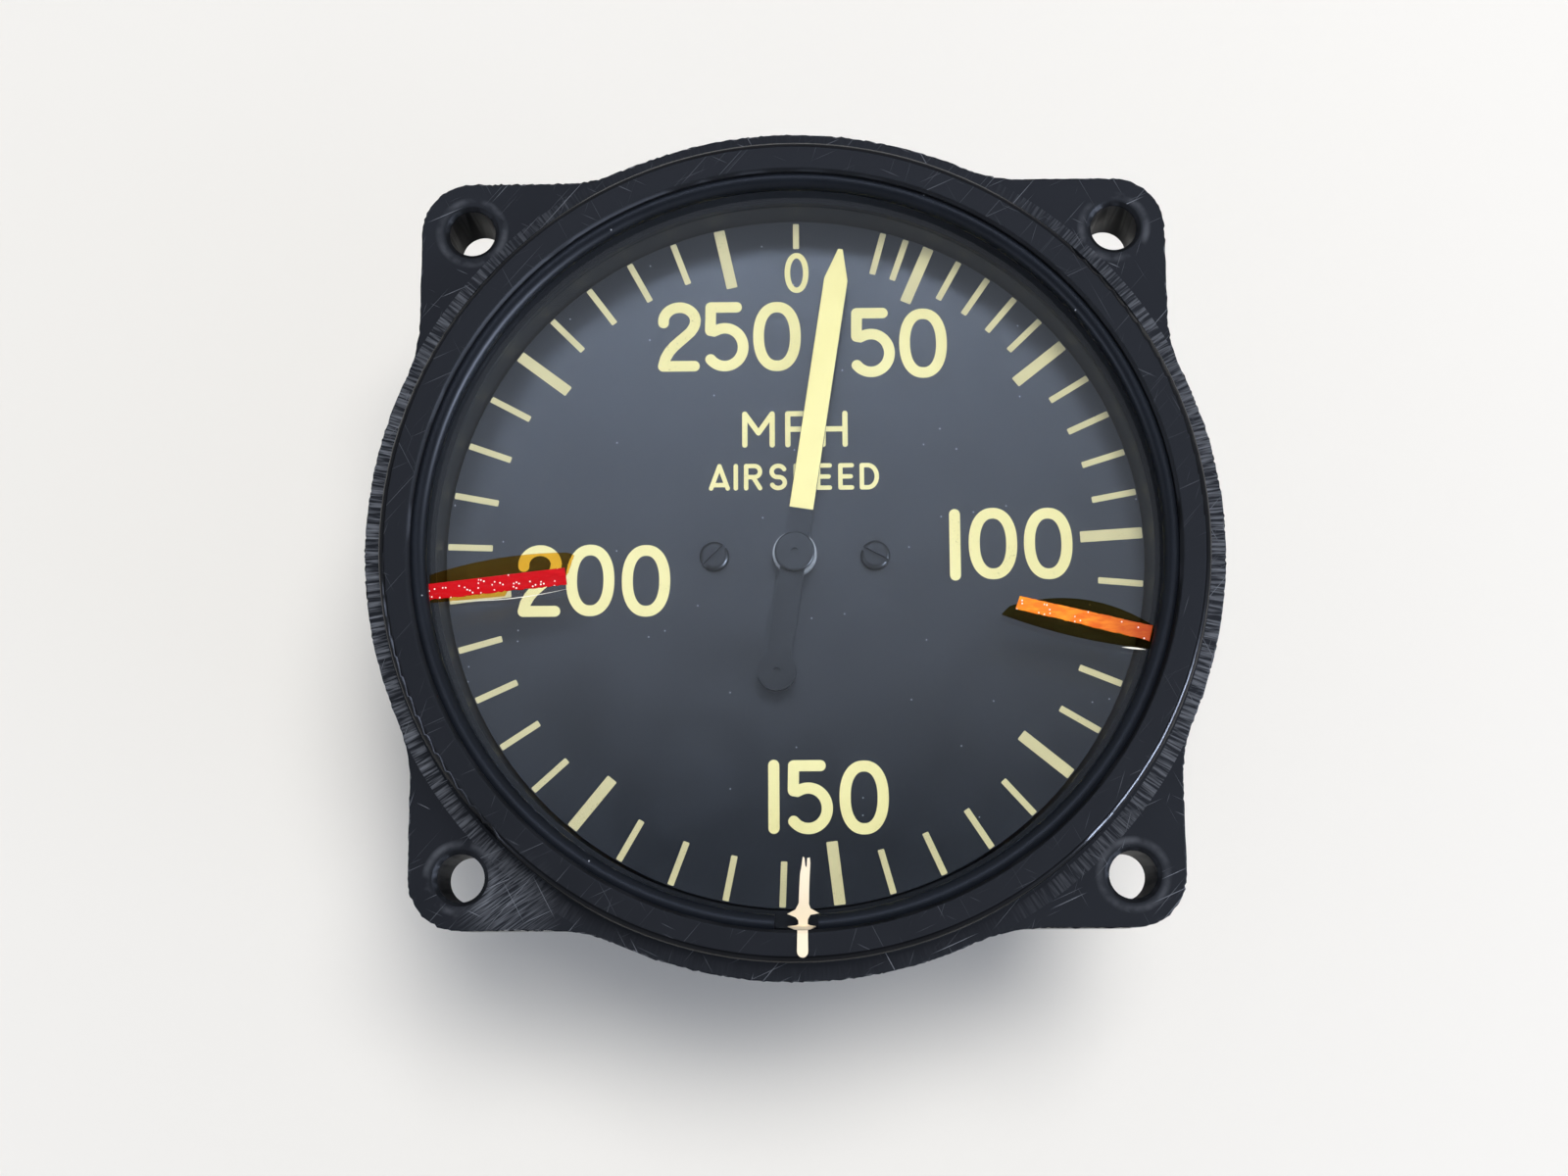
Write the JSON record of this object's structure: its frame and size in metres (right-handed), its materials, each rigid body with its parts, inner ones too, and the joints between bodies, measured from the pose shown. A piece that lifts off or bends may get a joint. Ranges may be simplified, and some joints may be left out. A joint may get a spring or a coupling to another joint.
{
  "type": "airspeed indicator",
  "caption": "Round panel airspeed indicator: black moulded case with drilled lugs, glazed dial, sweeping pointer and a capsule movement behind it.",
  "frame": {"origin": "centre of the flange's front face, on the dial's axis", "axes": "+Z out of the dial towards the viewer, +Y towards the zero mark, +X to the viewer's right"},
  "size_m": [0.0822, 0.0822, 0.059],
  "materials": {
    "phenolic": "moulded black phenolic, ground and scuffed on its front faces",
    "brass": "turned and stamped brass, lightly tarnished",
    "glass": "flat clear cover glass",
    "rubber": "dark grey gasket rubber",
    "ring_steel": "spring wire, matt black finish",
    "dial_paint": "matt black dial paint on sheet metal",
    "blued_steel": "dark blackened screw",
    "pointer_paint": "pale luminous paint with a matt black middle and tail",
    "aluminium": "turned aluminium with a matt black cap",
    "steel": "plain machined steel",
    "fibre": "red fibre sealing washer",
    "bronze": "pressed spring bronze",
    "spring_steel": "tempered spring ribbon"
  },
  "bodies": {
    "housing": {"case": "phenolic", "pitot_port_insert": "brass", "static_port_insert": "brass", "glass": "glass", "glass_gasket": "rubber", "snap_ring": "ring_steel", "dial": "dial_paint", "dial_screws": "blued_steel", "base_plate": "brass", "base_screws": "steel", "base_screw_washers": "fibre", "frame_posts": "brass", "rear_plate": "brass", "front_plate": "brass", "plate_pillars": "brass", "plate_screws": "steel", "capsule_stem": "brass", "rear_diaphragm": "bronze", "front_diaphragm": "bronze", "rocking_bearings": "brass", "bearing_screws": "steel", "staff_rear_bush": "brass", "staff_front_bush": "brass", "hairspring": "spring_steel", "hairspring_stud": "brass"},
    "hand": {"pointer": "pointer_paint", "pointer_bush": "aluminium", "hand_staff": "steel", "pinion": "brass", "hairspring_collet": "brass"},
    "sector": {"sector_arbor": "steel", "sector_gear": "brass", "sector_pin": "steel"},
    "rocker": {"rocking_shaft": "steel", "capsule_arm": "brass", "sector_arm": "brass"},
    "capsule_lift": {"capsule_boss": "brass"}
  },
  "joints": [
    {"name": "pointer_spin", "type": "hinge", "parent": "housing", "child": "hand", "pos_m": [0, 0, -0.005], "axis": [0, 0, -1], "range_deg": [-8.8, 338.6], "stiffness_Nm_per_rad": 0.000002},
    {"name": "sector_swing", "type": "hinge", "parent": "housing", "child": "sector", "pos_m": [-0.0216, 0.0082, -0.015], "axis": [0, 0, 1], "range_deg": [-0.9, 33.9]},
    {"name": "rocking_swing", "type": "hinge", "parent": "housing", "child": "rocker", "pos_m": [0, 0.007, -0.0294], "axis": [-1, 0, 0], "range_deg": [-0.4, 14.2]},
    {"name": "capsule_slide", "type": "slide", "parent": "housing", "child": "capsule_lift", "axis": [0, 0, 1], "range_m": [-0.00005, 0.00174], "deforming": ["front_diaphragm"]}
  ],
  "couplings": [
    {"joint": "sector_swing", "follows": "pointer_spin", "ratio": 0.1},
    {"joint": "rocking_swing", "follows": "pointer_spin", "ratio": 0.041667},
    {"joint": "capsule_slide", "follows": "pointer_spin", "m_per_rad": 0.00029167}
  ]
}
